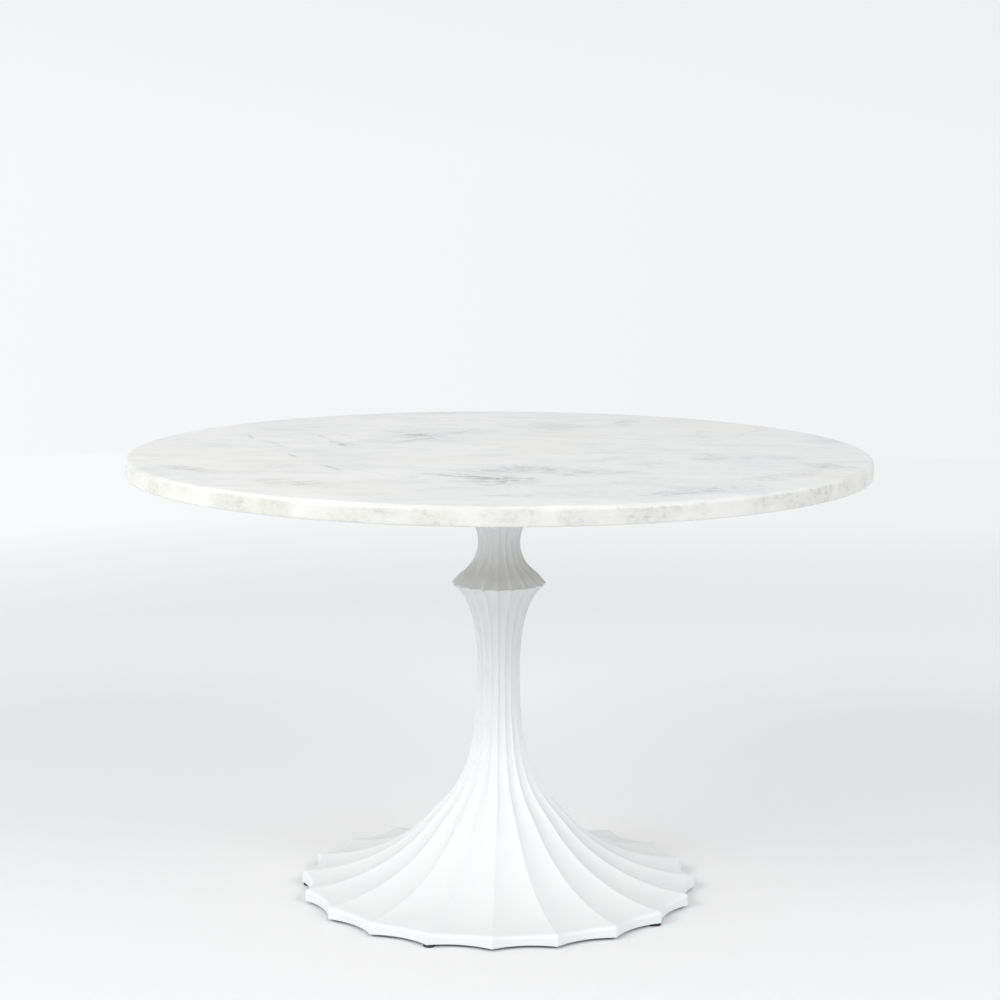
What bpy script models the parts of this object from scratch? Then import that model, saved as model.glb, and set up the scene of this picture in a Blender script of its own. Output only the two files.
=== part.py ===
"""Round pedestal table: a marble top on a fluted pedestal made of two castings.

Metres, +Z up. The origin is the point of the floor below the pedestal's axis.
One ridge of the flutes points along -Y. A tie rod clamps the castings together,
and five levelling glides screw into the base under every fourth ridge.
"""

import math

import bmesh
import bpy
from mathutils import Vector

# ---------------------------------------------------------------- driving dimensions

TABLE_HEIGHT = 0.745
GAP = 0.0003  # clearance between pieces that touch

TOP_RADIUS = 0.6096
TOP_THICKNESS = 0.030
TOP_UPPER_EASE = 0.008
TOP_LOWER_EASE = 0.003
TOP_SIDES = 80

BOARD_RADIUS = 0.400
BOARD_THICKNESS = 0.018
BOARD_BEVEL = 0.008
BOARD_POCKET_RADIUS = 0.032  # clears the tie rod's nut and washer
BOARD_SIDES = 64
DRILLED_PAST = 0.008  # how far each drill goes beyond the piece that it drills through

PLATE_RADIUS = 0.175
PLATE_THICKNESS = 0.006
PLATE_EASE = 0.001
PLATE_SIDES = 64

SCREW_COUNT = 6
SCREW_CIRCLE_RADIUS = 0.150
SCREW_RADIUS = 0.003
SCREW_HEAD_RADIUS = 0.0055
SCREW_HEAD_HEIGHT = 0.0033
SCREW_HEAD_DOME = 0.0013
SCREW_LENGTH = 0.018
INSERT_RADIUS = 0.005
INSERT_LENGTH = 0.014

FLUTES = 20
FLUTE_STEPS = 4  # faces across one flute outside,
CAVITY_STEPS = 2  # and inside
VALLEY_RATIO = 0.953  # a flute's radius at its deepest, as a share of its ridges' radius
FLUTE_DROP = 0.013  # how far a flute also sinks, for each metre beyond the stem's radius

FOOT_CLEARANCE = 0.005  # floor to the underside of the rim
RIM_RADIUS = 0.333
RIM_TOP = 0.025
RIM_EDGE = 0.006
RIM_SLOPE = math.radians(3)
RIM_HANDLE = 0.078
BEND_RADIUS = 0.120
BEND_Z = 0.1227
BEND_SLOPE = math.radians(49.8)
BEND_UPPER_HANDLE = 0.064
BEND_LOWER_HANDLE = 0.078
STEM_RADIUS = 0.0362
STEM_WAIST_Z = 0.381
STEM_LOWER_HANDLE = 0.194
STEM_UPPER_HANDLE = 0.075

SEAM_Z = 0.5265  # where the neck stands on the base, at the knop's widest
KNOP_RADIUS = 0.0786
KNOP_EDGE = 0.003
KNOP_EDGE_DROP = 0.0015
KNOP_UNDER_INSET = 0.0021
KNOP_UNDER_DROP = 0.0042
KNOP_UNDER_SLOPE = math.radians(35)
KNOP_UNDER_HANDLE = 0.031
NOSE_SLOPE = math.radians(50)
NOSE_HANDLE = 0.005
SHOULDER_RADIUS = 0.0655
SHOULDER_Z = 0.5408
SHOULDER_SLOPE = math.radians(39)
SHOULDER_HANDLE = 0.018
NECK_RADIUS = 0.0356
NECK_WAIST_Z = 0.595
NECK_HANDLE = 0.028
FLARE_RADIUS = 0.115
FLARE_SLOPE = math.radians(25)
FLARE_HANDLE = 0.060
FLARE_BAND = 0.006  # the upright edge at the flare's top

WALL = 0.008
CORE_RADIUS = 0.0235
TOP_WEB = 0.010
LEDGE_Z = 0.200  # the clamp plate bears on the ledge at this height
SPIGOT_RADIUS = 0.034
SPIGOT_DEPTH = 0.008
ROUND_WITHIN = 0.0345  # bores and spigots inside this radius are round,
FLUTED_BEYOND = 0.0355  # and from this radius on the flutes have their whole depth

ROD_RADIUS = 0.006
ROD_HOLE_RADIUS = 0.0075
WASHER_RADIUS = 0.0145
WASHER_THICKNESS = 0.0025
NUT_RADIUS = 0.0107
NUT_HEIGHT = 0.0085
ROD_END = 0.004  # thread that stands past each nut
ROD_EASE = 0.001
CLAMP_PLATE_RADIUS = 0.042
CLAMP_PLATE_THICKNESS = 0.008

DOWEL_RADIUS = 0.003
DOWEL_LENGTH = 0.014
SEAM_DOWEL_CIRCLE = 0.053
PLATE_DOWEL_CIRCLE = 0.085
PLATE_DOWEL_LENGTH = 0.012

GLIDE_COUNT = 5
GLIDE_CIRCLE_RADIUS = 0.321
GLIDE_FIRST_RIDGE = -1
PAD_RADIUS = 0.0095
PAD_EDGE = 0.0012
PAD_POCKET_FLOOR = 0.0016
PAD_LIP_HEIGHT = 0.001
STUD_RADIUS = 0.004
STUD_HEAD_RADIUS = 0.0049
STUD_TOP = 0.0205
STUD_TIP = 0.0008
BOSS_RADIUS = 0.0085
BOSS_TOP = 0.0225

HEXAGON = 6  # faces round each kind of round piece and hole
SMALL_SIDES = 12
BAR_SIDES = 16
DISC_SIDES = 20
POCKET_SIDES = 24
CLAMP_SIDES = 32

# ---------------------------------------------------------------- derived heights

TOP_UNDERSIDE = TABLE_HEIGHT - TOP_THICKNESS
BOARD_TOP = TOP_UNDERSIDE - GAP
BOARD_UNDERSIDE = BOARD_TOP - BOARD_THICKNESS
PLATE_TOP = BOARD_UNDERSIDE - GAP
PLATE_UNDERSIDE = PLATE_TOP - PLATE_THICKNESS
NECK_TOP = PLATE_UNDERSIDE - GAP
BASE_TOP = SEAM_Z - GAP
PAD_TOP = FOOT_CLEARANCE - GAP
FLUTE_ANGLE = 2 * math.pi / FLUTES
CURVE_SAMPLES = 200
ON_AXIS = 0.00001
SHARP_ANGLE = math.radians(32)


# ---------------------------------------------------------------- scene and materials


def clear_scene():
    for item in list(bpy.data.objects):
        bpy.data.objects.remove(item, do_unlink=True)


def new_collection(name):
    group = bpy.data.collections.new(name)
    bpy.context.scene.collection.children.link(group)
    return group


def plain_material(name, colour, roughness, metallic=0.0):
    material = bpy.data.materials.new(name)
    material.use_nodes = True
    shader = material.node_tree.nodes["Principled BSDF"]
    shader.inputs["Base Color"].default_value = (*colour, 1)
    shader.inputs["Roughness"].default_value = roughness
    shader.inputs["Metallic"].default_value = metallic
    return material


def marble():
    return plain_material("marble", (0.86, 0.86, 0.85), 0.25)


def plywood():
    return plain_material("plywood", (0.62, 0.47, 0.31), 0.7)


def white_coating(name):
    return plain_material(name, (0.87, 0.88, 0.88), 0.55)


def zinc_steel(name):
    return plain_material(name, (0.62, 0.63, 0.65), 0.35, 1.0)


def black_steel():
    return plain_material("black_steel", (0.05, 0.05, 0.055), 0.45, 0.8)


def brass():
    return plain_material("insert_brass", (0.72, 0.56, 0.27), 0.3, 1.0)


def brown_nylon():
    return plain_material("glide_nylon", (0.06, 0.035, 0.025), 0.45)


# ---------------------------------------------------------------- outlines


def bezier(start, leave, arrive, end, share):
    """The point at a share, from 0 to 1, of a cubic curve in the (radius, height) plane."""
    back = 1 - share
    weights = (back**3, 3 * back**2 * share, 3 * back * share**2, share**3)
    corners = (start, leave, arrive, end)
    return sum((weight * Vector(corner) for weight, corner in zip(weights, corners)), Vector((0, 0)))


def evenly_spaced(points, count):
    """The same path with count points, spaced evenly along its length."""
    lengths = [(b - a).length for a, b in zip(points, points[1:])]
    total = sum(lengths)
    spaced = [points[0]]
    walked = 0.0
    step = 0
    for k in range(1, count - 1):
        target = total * k / (count - 1)
        while walked + lengths[step] < target:
            walked += lengths[step]
            step += 1
        share = (target - walked) / lengths[step]
        spaced.append(points[step].lerp(points[step + 1], share))
    return spaced + [points[-1]]


def curve(start, leave, arrive, end, count):
    fine = [bezier(start, leave, arrive, end, k / CURVE_SAMPLES) for k in range(CURVE_SAMPLES + 1)]
    return evenly_spaced(fine, count)


def quarter_round(centre, radius, first_angle, last_angle, count):
    """Points on an arc in the (radius, height) plane, angles in degrees from +radius."""
    angles = [math.radians(first_angle + (last_angle - first_angle) * k / count) for k in range(count + 1)]
    return [Vector((centre[0] + radius * math.cos(a), centre[1] + radius * math.sin(a))) for a in angles]


def slope_point(point, slope, distance):
    """The point a distance outwards and down a slope, or inwards and up it if negative."""
    return (point[0] + distance * math.cos(slope), point[1] - distance * math.sin(slope))


def stem_and_skirt(stem_points, skirt_points):
    """The ridge line from the stem's waist down to the rim."""
    waist = (STEM_RADIUS, STEM_WAIST_Z)
    bend = (BEND_RADIUS, BEND_Z)
    rim = (RIM_RADIUS - RIM_EDGE, RIM_TOP)
    upper = curve(
        waist,
        (STEM_RADIUS, STEM_WAIST_Z - STEM_LOWER_HANDLE),
        slope_point(bend, BEND_SLOPE, -BEND_UPPER_HANDLE),
        bend,
        stem_points,
    )
    lower = curve(
        bend,
        slope_point(bend, BEND_SLOPE, BEND_LOWER_HANDLE),
        slope_point(rim, RIM_SLOPE, -RIM_HANDLE),
        rim,
        skirt_points,
    )
    return upper + lower[1:]


def knop_underside(count):
    """The ridge line from the knop's lower edge down to the stem's waist."""
    edge = (KNOP_RADIUS - KNOP_UNDER_INSET, SEAM_Z - KNOP_UNDER_DROP)
    return curve(
        edge,
        slope_point(edge, -KNOP_UNDER_SLOPE, -KNOP_UNDER_HANDLE),
        (STEM_RADIUS, STEM_WAIST_Z + STEM_UPPER_HANDLE),
        (STEM_RADIUS, STEM_WAIST_Z),
        count,
    )


def neck_ridge(flare_points, shoulder_points, nose_points):
    """The ridge line from the flare under the plate, past the neck's waist, out to the knop."""
    rim = (FLARE_RADIUS, NECK_TOP - FLARE_BAND)
    waist = (NECK_RADIUS, NECK_WAIST_Z)
    shoulder = (SHOULDER_RADIUS, SHOULDER_Z)
    nose = (KNOP_RADIUS, SEAM_Z)
    flare = curve(
        rim,
        slope_point(rim, -FLARE_SLOPE, -FLARE_HANDLE),
        (NECK_RADIUS, NECK_WAIST_Z + NECK_HANDLE),
        waist,
        flare_points,
    )
    lower = curve(
        waist,
        (NECK_RADIUS, NECK_WAIST_Z - NECK_HANDLE),
        slope_point(shoulder, SHOULDER_SLOPE, -SHOULDER_HANDLE),
        shoulder,
        shoulder_points,
    )
    last = curve(
        shoulder,
        slope_point(shoulder, SHOULDER_SLOPE, NOSE_HANDLE),
        slope_point(nose, NOSE_SLOPE, -NOSE_HANDLE),
        nose,
        nose_points,
    )
    return flare + lower[1:] + last[1:]


def inside_of(path, thickness):
    """A path moved by a wall's thickness to its right, which is inwards on the way down."""
    moved = []
    for k, point in enumerate(path):
        before = path[max(k - 1, 0)]
        after = path[min(k + 1, len(path) - 1)]
        along = (after - before).normalized()
        moved.append(point + thickness * Vector((along.y, -along.x)))
    return moved


def from_height(path, height):
    """The part of a falling path that is below a height, starting where it crosses it."""
    for k, (above, below) in enumerate(zip(path, path[1:])):
        if below.y < height <= above.y:
            share = (above.y - height) / (above.y - below.y)
            return [above.lerp(below, share)] + path[k + 1 :]
    return path


# ---------------------------------------------------------------- mesh helpers


def add_object(name, mesh, material, group):
    """An object for a mesh, smooth except at its sharp edges."""
    mesh.shade_smooth()
    mesh.set_sharp_from_angle(angle=SHARP_ANGLE)
    thing = bpy.data.objects.new(name, mesh)
    thing.data.materials.clear()
    thing.data.materials.append(material)
    group.objects.link(thing)
    return thing


def turned_mesh(name, outline, sides):
    """A closed outline in the (radius, height) plane, turned about Z.

    The outline starts and ends on the axis, or its last point joins the first one
    for a piece with a hole. It runs top to bottom down the outer side.
    """
    outline = [Vector(point) for point in outline]
    on_axis = outline[0].x == 0 and outline[-1].x == 0
    profile = bpy.data.meshes.new(name + "_profile")
    edges = [(k, k + 1) for k in range(len(outline) - 1)]
    if not on_axis:
        edges.append((len(outline) - 1, 0))
    profile.from_pydata([(p.x, 0, p.y) for p in outline], edges, [])
    turner = bpy.data.objects.new(name + "_turner", profile)
    bpy.context.scene.collection.objects.link(turner)
    screw = turner.modifiers.new("turn", "SCREW")
    screw.axis = "Z"
    screw.steps = sides
    screw.render_steps = sides
    screw.use_merge_vertices = True
    screw.merge_threshold = ON_AXIS
    bpy.context.view_layer.update()
    mesh = bpy.data.meshes.new_from_object(turner.evaluated_get(bpy.context.evaluated_depsgraph_get()))
    bpy.data.objects.remove(turner)
    bpy.data.meshes.remove(profile)
    mesh.name = name
    tidy_turning(mesh)
    return mesh


def tidy_turning(mesh):
    """Makes each flat end on the axis one face, and turns all faces outwards."""
    shape = bmesh.new()
    shape.from_mesh(mesh)
    on_axis = [v for v in shape.verts if math.hypot(v.co.x, v.co.y) < ON_AXIS]
    bmesh.ops.dissolve_verts(shape, verts=on_axis)
    bmesh.ops.recalc_face_normals(shape, faces=shape.faces)
    shape.to_mesh(mesh)
    shape.free()


def scallop(angle):
    """A fluted outline's radius at an angle from a ridge, as a share of the ridges' radius.

    Each flute is a circular arc from one ridge to the next, and hollow to the outside.
    """
    from_valley = (angle % FLUTE_ANGLE) - FLUTE_ANGLE / 2
    half_chord = math.sin(FLUTE_ANGLE / 2)
    depth = math.cos(FLUTE_ANGLE / 2) - VALLEY_RATIO
    arc_radius = (half_chord**2 + depth**2) / (2 * depth)
    arc_centre = VALLEY_RATIO + arc_radius
    across = arc_centre * math.sin(from_valley)
    return arc_centre * math.cos(from_valley) - math.sqrt(arc_radius**2 - across**2)


def cut_flutes(mesh):
    """Moves a turned mesh's points in, and on the skirt also down, to where its flutes are."""
    for vertex in mesh.vertices:
        x, y, z = vertex.co
        radius = math.hypot(x, y)
        fade = min(max((radius - ROUND_WITHIN) / (FLUTED_BEYOND - ROUND_WITHIN), 0), 1)
        hollow = fade * (1 - scallop(math.atan2(x, -y)))
        on_skirt = RIM_TOP / 2 < z < STEM_WAIST_Z
        beyond_stem = max(radius - STEM_RADIUS, 0) if on_skirt else 0
        drop = FLUTE_DROP * beyond_stem * hollow / (1 - VALLEY_RATIO)
        vertex.co = (x * (1 - hollow), y * (1 - hollow), z - drop)


def fluted_mesh(name, outline, steps=FLUTE_STEPS):
    mesh = turned_mesh(name, outline, FLUTES * steps)
    cut_flutes(mesh)
    return mesh


def bar_outline(radius, low, high, ease=0.0):
    """The outline of a plain cylinder, or of one with eased ends."""
    if not ease:
        return [(0, high), (radius, high), (radius, low), (0, low)]
    return [
        (0, high),
        (radius - ease, high),
        (radius, high - ease),
        (radius, low + ease),
        (radius - ease, low),
        (0, low),
    ]


def ring_outline(inner, outer, low, high):
    return [(inner, high), (outer, high), (outer, low), (inner, low)]


def at_circle(radius, angle):
    """A place on a circle about Z, with the angle measured from -Y towards +X."""
    return Vector((radius * math.sin(angle), -radius * math.cos(angle), 0))


def glide_angles():
    return [FLUTE_ANGLE * (GLIDE_FIRST_RIDGE + FLUTES // GLIDE_COUNT * k) for k in range(GLIDE_COUNT)]


def screw_angles():
    return [2 * math.pi * k / SCREW_COUNT for k in range(SCREW_COUNT)]


def dowel_angles():
    return [FLUTE_ANGLE * 2.5, FLUTE_ANGLE * 2.5 + math.pi]


class Workshop:
    """The collections that the parts and their cutters go in, and how pieces are cut."""

    def __init__(self):
        self.parts = new_collection("round_pedestal_table")
        self.cutters = new_collection("cutters")
        self.cutter_material = plain_material("cutter", (1, 0.2, 0.2), 1.0)
        self.cutter_count = 0

    def part(self, name, mesh, material, place=(0, 0, 0)):
        thing = add_object(name, mesh, material, self.parts)
        thing.location = place
        return thing

    def cutter(self, mesh, place=(0, 0, 0)):
        self.cutter_count += 1
        thing = add_object(f"cutter_{self.cutter_count}", mesh, self.cutter_material, self.cutters)
        thing.location = place
        thing.hide_render = True
        thing.display_type = "WIRE"
        return thing

    def drill(self, thing, radius, low, high, places=((0, 0, 0),), sides=BAR_SIDES):
        """Round holes along Z from one height to another."""
        mesh = turned_mesh("drill", bar_outline(radius, low, high), sides)
        for place in places:
            combine(thing, self.cutter(mesh, place), "DIFFERENCE")


def combine(thing, other, operation):
    modifier = thing.modifiers.new(operation.lower(), "BOOLEAN")
    modifier.operation = operation
    modifier.solver = "EXACT"
    modifier.object = other


# ---------------------------------------------------------------- the table's top


def build_top(shop):
    upper = quarter_round(
        (TOP_RADIUS - TOP_UPPER_EASE, TABLE_HEIGHT - TOP_UPPER_EASE), TOP_UPPER_EASE, 90, 0, 3
    )
    lower = quarter_round(
        (TOP_RADIUS - TOP_LOWER_EASE, TOP_UNDERSIDE + TOP_LOWER_EASE), TOP_LOWER_EASE, 0, -90, 2
    )
    outline = [(0, TABLE_HEIGHT), *upper, *lower, (0, TOP_UNDERSIDE)]
    shop.part("marble_top", turned_mesh("marble_top", outline, TOP_SIDES), marble())


def build_board(shop):
    outline = [
        (0, BOARD_TOP),
        (BOARD_RADIUS, BOARD_TOP),
        (BOARD_RADIUS, BOARD_UNDERSIDE + BOARD_BEVEL),
        (BOARD_RADIUS - BOARD_BEVEL, BOARD_UNDERSIDE),
        (0, BOARD_UNDERSIDE),
    ]
    board = shop.part("backing_board", turned_mesh("backing_board", outline, BOARD_SIDES), plywood())
    low = BOARD_UNDERSIDE - DRILLED_PAST
    shop.drill(board, BOARD_POCKET_RADIUS, low, BOARD_TOP + DRILLED_PAST, sides=POCKET_SIDES)
    screw_places = [at_circle(SCREW_CIRCLE_RADIUS, a) for a in screw_angles()]
    hole_top = BOARD_UNDERSIDE + INSERT_LENGTH + 4 * GAP
    shop.drill(board, INSERT_RADIUS + GAP, low, hole_top, screw_places, SMALL_SIDES)


def build_plate(shop):
    outline = bar_outline(PLATE_RADIUS, PLATE_UNDERSIDE, PLATE_TOP, PLATE_EASE)
    plate = shop.part("mounting_plate", turned_mesh("mounting_plate", outline, PLATE_SIDES), black_steel())
    low = PLATE_UNDERSIDE - DRILLED_PAST
    high = PLATE_TOP + DRILLED_PAST
    screw_places = [at_circle(SCREW_CIRCLE_RADIUS, a) for a in screw_angles()]
    dowel_places = [at_circle(PLATE_DOWEL_CIRCLE, a) for a in dowel_angles()]
    shop.drill(plate, ROD_HOLE_RADIUS, low, high)
    shop.drill(plate, SCREW_RADIUS + GAP, low, high, screw_places, SMALL_SIDES)
    shop.drill(plate, DOWEL_RADIUS + GAP, low, high, dowel_places, SMALL_SIDES)


def build_screws_and_inserts(shop):
    head_top = PLATE_UNDERSIDE - GAP
    head_low = head_top - SCREW_HEAD_HEIGHT
    screw = [
        (0, head_top + SCREW_LENGTH),
        (SCREW_RADIUS, head_top + SCREW_LENGTH),
        (SCREW_RADIUS, head_top),
        (SCREW_HEAD_RADIUS, head_top),
        (SCREW_HEAD_RADIUS, head_low + SCREW_HEAD_DOME),
        (SCREW_HEAD_RADIUS - SCREW_HEAD_DOME, head_low),
        (0, head_low),
    ]
    screw_mesh = turned_mesh("plate_screw", screw, SMALL_SIDES)
    insert_low = BOARD_UNDERSIDE + GAP
    insert = ring_outline(SCREW_RADIUS + GAP, INSERT_RADIUS, insert_low, insert_low + INSERT_LENGTH)
    insert_mesh = turned_mesh("board_insert", insert, SMALL_SIDES)
    steel = zinc_steel("screw_steel")
    metal = brass()
    for number, angle in enumerate(screw_angles(), 1):
        place = at_circle(SCREW_CIRCLE_RADIUS, angle)
        shop.part(f"plate_screw_{number}", screw_mesh, steel, place)
        shop.part(f"board_insert_{number}", insert_mesh, metal, place)


# ---------------------------------------------------------------- the two castings


def build_neck(shop):
    ridge = neck_ridge(flare_points=6, shoulder_points=6, nose_points=4)
    spigot_low = SEAM_Z - SPIGOT_DEPTH
    spigot = [(SPIGOT_RADIUS, SEAM_Z), (SPIGOT_RADIUS, spigot_low), (0, spigot_low)]
    outline = [(0, NECK_TOP), (FLARE_RADIUS, NECK_TOP), *ridge, *spigot]
    neck = shop.part("neck_casting", fluted_mesh("neck_casting", outline), white_coating("coating_neck"))
    web_underside = NECK_TOP - TOP_WEB
    flare = [p for p in ridge if p.y >= NECK_WAIST_Z]
    lowest = spigot_low - DRILLED_PAST
    cavity = [
        (0, web_underside),
        *from_height(inside_of(flare, WALL), web_underside),
        (CORE_RADIUS, NECK_WAIST_Z - WALL),
        (CORE_RADIUS, lowest),
        (0, lowest),
    ]
    combine(neck, shop.cutter(fluted_mesh("neck_cavity", cavity, CAVITY_STEPS)), "DIFFERENCE")
    shop.drill(neck, ROD_HOLE_RADIUS, web_underside - DRILLED_PAST, NECK_TOP + DRILLED_PAST)
    hole = DOWEL_RADIUS + GAP
    seam_places = [at_circle(SEAM_DOWEL_CIRCLE, a) for a in dowel_angles()]
    seam_top = SEAM_Z + DOWEL_LENGTH / 2 + GAP
    shop.drill(neck, hole, SEAM_Z - GAP, seam_top, seam_places, SMALL_SIDES)
    plate_places = [at_circle(PLATE_DOWEL_CIRCLE, a) for a in dowel_angles()]
    shop.drill(neck, hole, dowel_low() - GAP, NECK_TOP + GAP, plate_places, SMALL_SIDES)


def base_cavity(ridge):
    """The hollow inside: a recess for the spigot, a round core down to the ledge, then the skirt."""
    inner = [p for p in from_height(inside_of(ridge, WALL), LEDGE_Z) if p.x < RIM_RADIUS - WALL]
    recess_radius = SPIGOT_RADIUS + GAP
    recess_low = SEAM_Z - SPIGOT_DEPTH - GAP
    above = BASE_TOP + DRILLED_PAST
    below = FOOT_CLEARANCE - DRILLED_PAST
    return [
        (0, above),
        (recess_radius, above),
        (recess_radius, recess_low),
        (CORE_RADIUS, recess_low),
        (CORE_RADIUS, LEDGE_Z),
        *inner,
        (RIM_RADIUS - WALL, RIM_TOP - WALL),
        (RIM_RADIUS - WALL, below),
        (0, below),
    ]


def build_base(shop):
    skirt = stem_and_skirt(stem_points=6, skirt_points=7)
    ridge = knop_underside(6) + skirt[1:]
    knop_middle = (KNOP_RADIUS - KNOP_EDGE, BASE_TOP - KNOP_EDGE_DROP)
    knop_edge = quarter_round(knop_middle, KNOP_EDGE, 30, -45, 2)
    rim_edge = quarter_round((RIM_RADIUS - RIM_EDGE, RIM_TOP - RIM_EDGE), RIM_EDGE, 45, 0, 1)
    outline = [
        (0, BASE_TOP),
        *knop_edge,
        *ridge[1:],
        *rim_edge,
        (RIM_RADIUS, FOOT_CLEARANCE),
        (0, FOOT_CLEARANCE),
    ]
    base = shop.part("base_casting", fluted_mesh("base_casting", outline), white_coating("coating_base"))
    hollow = shop.cutter(fluted_mesh("base_cavity", base_cavity(skirt), CAVITY_STEPS))
    boss_low = FOOT_CLEARANCE - 2 * DRILLED_PAST
    boss = turned_mesh("boss", bar_outline(BOSS_RADIUS, boss_low, BOSS_TOP), DISC_SIDES)
    glide_places = [at_circle(GLIDE_CIRCLE_RADIUS, a) for a in glide_angles()]
    for place in glide_places:
        combine(hollow, shop.cutter(boss, place), "DIFFERENCE")
    combine(base, hollow, "DIFFERENCE")
    seam_places = [at_circle(SEAM_DOWEL_CIRCLE, a) for a in dowel_angles()]
    seam_low = SEAM_Z - DOWEL_LENGTH / 2 - GAP
    shop.drill(base, DOWEL_RADIUS + GAP, seam_low, SEAM_Z + GAP, seam_places, SMALL_SIDES)
    stud_hole = (FOOT_CLEARANCE - DRILLED_PAST, STUD_TOP + 2 * GAP)
    shop.drill(base, STUD_RADIUS + GAP, *stud_hole, glide_places, SMALL_SIDES)


# ---------------------------------------------------------------- what clamps and lines them up


def dowel_low():
    return NECK_TOP - PLATE_DOWEL_LENGTH / 2


def build_dowels(shop):
    steel = zinc_steel("dowel_steel")
    seam = bar_outline(DOWEL_RADIUS, SEAM_Z - DOWEL_LENGTH / 2, SEAM_Z + DOWEL_LENGTH / 2)
    plate = bar_outline(DOWEL_RADIUS, dowel_low(), PLATE_TOP - GAP)
    seam_mesh = turned_mesh("seam_dowel", seam, SMALL_SIDES)
    plate_mesh = turned_mesh("plate_dowel", plate, SMALL_SIDES)
    for number, angle in enumerate(dowel_angles(), 1):
        shop.part(f"seam_dowel_{number}", seam_mesh, steel, at_circle(SEAM_DOWEL_CIRCLE, angle))
        shop.part(f"plate_dowel_{number}", plate_mesh, steel, at_circle(PLATE_DOWEL_CIRCLE, angle))


def build_nut(shop, name, low, material):
    high = low + NUT_HEIGHT
    nut = shop.part(name, turned_mesh(name, bar_outline(NUT_RADIUS, low, high), HEXAGON), material)
    shop.drill(nut, ROD_RADIUS + GAP, low - DRILLED_PAST, high + DRILLED_PAST)


def build_washer(shop, name, low, material):
    outline = ring_outline(ROD_RADIUS + 2 * GAP, WASHER_RADIUS, low, low + WASHER_THICKNESS)
    shop.part(name, turned_mesh(name, outline, DISC_SIDES), material)


def build_tie_rod(shop):
    steel = zinc_steel("tie_rod_steel")
    upper_washer = PLATE_TOP + GAP
    upper_nut = upper_washer + WASHER_THICKNESS + GAP
    clamp_low = LEDGE_Z - GAP - CLAMP_PLATE_THICKNESS
    lower_washer = clamp_low - GAP - WASHER_THICKNESS
    lower_nut = lower_washer - GAP - NUT_HEIGHT
    rod_top = upper_nut + NUT_HEIGHT + ROD_END
    rod = bar_outline(ROD_RADIUS, lower_nut - ROD_END, rod_top, ROD_EASE)
    shop.part("tie_rod", turned_mesh("tie_rod", rod, BAR_SIDES), steel)
    build_washer(shop, "upper_washer", upper_washer, steel)
    build_nut(shop, "upper_nut", upper_nut, steel)
    clamp = ring_outline(ROD_HOLE_RADIUS, CLAMP_PLATE_RADIUS, clamp_low, LEDGE_Z - GAP)
    clamp_mesh = turned_mesh("clamp_plate", clamp, CLAMP_SIDES)
    shop.part("clamp_plate", clamp_mesh, zinc_steel("clamp_plate_steel"))
    build_washer(shop, "lower_washer", lower_washer, steel)
    build_nut(shop, "lower_nut", lower_nut, steel)


# ---------------------------------------------------------------- levelling glides


def pad_outline():
    pocket = STUD_HEAD_RADIUS + GAP
    lip = STUD_RADIUS + GAP
    lip_low = PAD_TOP - PAD_LIP_HEIGHT
    return [
        (0, PAD_POCKET_FLOOR),
        (pocket, PAD_POCKET_FLOOR),
        (pocket, lip_low),
        (lip, lip_low),
        (lip, PAD_TOP),
        (PAD_RADIUS - PAD_EDGE, PAD_TOP),
        (PAD_RADIUS, PAD_TOP - PAD_EDGE),
        (PAD_RADIUS, PAD_EDGE),
        (PAD_RADIUS - PAD_EDGE, 0),
        (0, 0),
    ]


def stud_outline():
    head_low = PAD_POCKET_FLOOR + GAP
    head_top = PAD_TOP - PAD_LIP_HEIGHT - GAP
    return [
        (0, STUD_TOP),
        (STUD_RADIUS - STUD_TIP, STUD_TOP),
        (STUD_RADIUS, STUD_TOP - STUD_TIP),
        (STUD_RADIUS, head_top),
        (STUD_HEAD_RADIUS, head_top),
        (STUD_HEAD_RADIUS, head_low),
        (0, head_low),
    ]


def build_glides(shop):
    pad_mesh = turned_mesh("glide_pad", pad_outline(), DISC_SIDES)
    stud_mesh = turned_mesh("glide_stud", stud_outline(), SMALL_SIDES)
    nylon = brown_nylon()
    steel = zinc_steel("stud_steel")
    for number, angle in enumerate(glide_angles(), 1):
        place = at_circle(GLIDE_CIRCLE_RADIUS, angle)
        shop.part(f"glide_pad_{number}", pad_mesh, nylon, place)
        shop.part(f"glide_stud_{number}", stud_mesh, steel, place)


def main():
    clear_scene()
    shop = Workshop()
    build_top(shop)
    build_board(shop)
    build_plate(shop)
    build_screws_and_inserts(shop)
    build_neck(shop)
    build_base(shop)
    build_dowels(shop)
    build_tie_rod(shop)
    build_glides(shop)


main()
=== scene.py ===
"""The looks of a round pedestal table: a marble slab on a white pedestal with 20 flutes.

Metres, in the frame of the CAD model: +Z up, the floor at z = 0, the pedestal on the Z axis and
one ridge of its flutes towards -Y.
"""

import math

import bmesh
import bpy
import numpy as np
from mathutils import Matrix, Vector


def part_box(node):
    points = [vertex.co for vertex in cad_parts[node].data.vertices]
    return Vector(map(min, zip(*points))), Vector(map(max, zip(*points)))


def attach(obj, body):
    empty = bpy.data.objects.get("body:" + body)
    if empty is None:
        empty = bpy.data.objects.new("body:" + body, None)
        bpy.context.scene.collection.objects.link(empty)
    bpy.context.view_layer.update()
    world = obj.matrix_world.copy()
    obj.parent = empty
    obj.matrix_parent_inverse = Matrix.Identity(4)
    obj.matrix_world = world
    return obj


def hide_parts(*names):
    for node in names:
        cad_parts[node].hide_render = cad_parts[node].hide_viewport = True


# ---------------------------------------------------------------- sizes the CAD's boxes don't give

GAP = 0.0003  # clearance between pieces that touch
RING_STEP = 0.002  # from an edge's rounding to the next ring of points

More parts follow.
